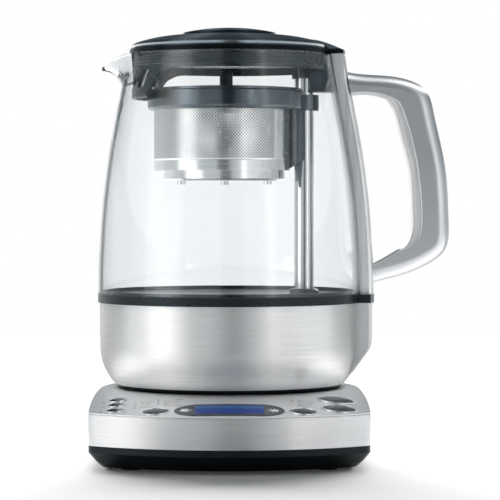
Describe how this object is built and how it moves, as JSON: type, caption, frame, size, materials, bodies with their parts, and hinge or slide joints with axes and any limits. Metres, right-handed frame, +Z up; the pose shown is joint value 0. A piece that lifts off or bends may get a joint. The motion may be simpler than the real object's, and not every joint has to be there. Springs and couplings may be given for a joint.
{
  "type": "automatic tea maker",
  "caption": "Glass tea maker jug with a steel foot and loop handle on a powered base with push buttons; a motor lowers its tea basket along a post.",
  "frame": {"origin": "where the jug's axis meets the table, in the middle of the base's rubber foot ring", "axes": "+Z up along the jug's axis, -Y towards the user and the control panel, -X towards the spout, +X towards the handle"},
  "size_m": [0.2151, 0.2071, 0.26],
  "materials": {
    "black_plastic": "black moulded plastic, satin sheen",
    "brushed_steel": "stainless steel, horizontal brushed grain",
    "satin_deck": "fine bead-blasted silver",
    "polished_steel": "polished stainless steel",
    "handle_chrome": "satin chrome",
    "inlay": "pale grey soft-touch",
    "glass": "clear borosilicate glass",
    "dark_grey_plastic": "dark blue-grey moulded plastic",
    "steel": "plain stainless steel",
    "mesh_steel": "perforated stainless steel",
    "display_glass": "lit blue display behind a clear lens",
    "circuit_board": "green board",
    "rubber": "soft black rubber",
    "silicone": "grey silicone",
    "brass": "brass contact",
    "magnet": "nickel-plated magnet"
  },
  "bodies": {
    "power_base": {"base_tray": "black_plastic", "base_band": "brushed_steel", "base_top_panel": "satin_deck", "base_feet": "rubber", "tray_screws": "steel", "cord_gland": "rubber", "connector_post": "black_plastic", "connector_contacts": "brass", "display_pod": "dark_grey_plastic", "display_screen": "circuit_board", "display_window": "display_glass", "control_board": "circuit_board", "tact_switches": "black_plastic", "button_bezels": "polished_steel"},
    "jug": {"jug_base_shell": "brushed_steel", "jug_bottom_cover": "black_plastic", "jug_socket": "black_plastic", "bottom_screws": "steel", "glass_band": "dark_grey_plastic", "heating_plate": "steel", "plate_seal": "silicone", "heating_element": "steel", "thermostat": "black_plastic", "jug_glass": "glass", "handle_spine": "handle_chrome", "handle_shell": "handle_chrome", "handle_inlay": "inlay", "handle_screws": "steel", "lift_motor": "steel", "lift_tube": "polished_steel", "tube_foot": "dark_grey_plastic", "rail_bracket": "dark_grey_plastic", "rim_clip": "black_plastic"},
    "lift_screw": {"lead_screw": "steel"},
    "magnet_carriage": {"magnet_carriage": "dark_grey_plastic", "carriage_magnets": "magnet"},
    "basket": {"basket_ring": "dark_grey_plastic", "basket_bracket": "dark_grey_plastic", "bracket_magnets": "magnet", "basket_mesh": "mesh_steel", "basket_lower_ring": "polished_steel", "basket_floor": "mesh_steel", "basket_lid": "dark_grey_plastic", "basket_lid_knob": "black_plastic"},
    "lid": {"lid_cap": "black_plastic", "lid_knob": "black_plastic", "lid_skirt": "dark_grey_plastic", "lid_seal": "silicone", "spout_filter": "mesh_steel"},
    "left_rear_button": {"left_rear_button": "dark_grey_plastic"},
    "left_middle_button": {"left_middle_button": "dark_grey_plastic"},
    "left_front_button": {"left_front_button": "dark_grey_plastic"},
    "tea_type_button": {"tea_type_button": "dark_grey_plastic"},
    "strength_button": {"strength_button": "dark_grey_plastic"},
    "keep_warm_button": {"keep_warm_button": "dark_grey_plastic"},
    "start_button": {"start_button": "dark_grey_plastic"},
    "minus_button": {"minus_button": "polished_steel"},
    "plus_button": {"plus_button": "polished_steel"}
  },
  "joints": [
    {"name": "jug_lift_off", "type": "slide", "parent": "power_base", "child": "jug", "axis": [0, 0, 1], "range_m": [0, 0.12]},
    {"name": "basket_lift", "type": "slide", "parent": "jug", "child": "basket", "axis": [0, 0, 1], "range_m": [-0.06, 0]},
    {"name": "carriage_slide", "type": "slide", "parent": "jug", "child": "magnet_carriage", "axis": [0, 0, 1], "range_m": [-0.06, 0]},
    {"name": "screw_turn", "type": "hinge", "parent": "jug", "child": "lift_screw", "pos_m": [0.0456, 0, 0.1], "axis": [0, 0, 1], "range_deg": [0, 2701]},
    {"name": "lid_lift_off", "type": "slide", "parent": "jug", "child": "lid", "axis": [0, 0, 1], "range_m": [0, 0.1]},
    {"name": "left_rear_button_press", "type": "slide", "parent": "power_base", "child": "left_rear_button", "axis": [-0.1052, -0.1149, 0.9878], "range_m": [-0.001, 0], "stiffness_N_per_m": 400},
    {"name": "left_middle_button_press", "type": "slide", "parent": "power_base", "child": "left_middle_button", "axis": [-0.0947, -0.1237, 0.9878], "range_m": [-0.001, 0], "stiffness_N_per_m": 400},
    {"name": "left_front_button_press", "type": "slide", "parent": "power_base", "child": "left_front_button", "axis": [-0.0856, -0.1301, 0.9878], "range_m": [-0.001, 0], "stiffness_N_per_m": 400},
    {"name": "tea_type_button_press", "type": "slide", "parent": "power_base", "child": "tea_type_button", "axis": [-0.0554, -0.1456, 0.9878], "range_m": [-0.001, 0], "stiffness_N_per_m": 400},
    {"name": "strength_button_press", "type": "slide", "parent": "power_base", "child": "strength_button", "axis": [0.0554, -0.1456, 0.9878], "range_m": [-0.001, 0], "stiffness_N_per_m": 400},
    {"name": "keep_warm_button_press", "type": "slide", "parent": "power_base", "child": "keep_warm_button", "axis": [0.1004, -0.1191, 0.9878], "range_m": [-0.001, 0], "stiffness_N_per_m": 400},
    {"name": "start_button_press", "type": "slide", "parent": "power_base", "child": "start_button", "axis": [0.0845, -0.1308, 0.9878], "range_m": [-0.001, 0], "stiffness_N_per_m": 400},
    {"name": "minus_button_press", "type": "slide", "parent": "power_base", "child": "minus_button", "axis": [-0.0337, -0.1521, 0.9878], "range_m": [-0.001, 0], "stiffness_N_per_m": 400},
    {"name": "plus_button_press", "type": "slide", "parent": "power_base", "child": "plus_button", "axis": [0.0337, -0.1521, 0.9878], "range_m": [-0.001, 0], "stiffness_N_per_m": 400}
  ],
  "couplings": [
    {"joint": "carriage_slide", "follows": "basket_lift", "ratio": 1},
    {"joint": "screw_turn", "follows": "basket_lift", "rad_per_m": -785.4}
  ]
}
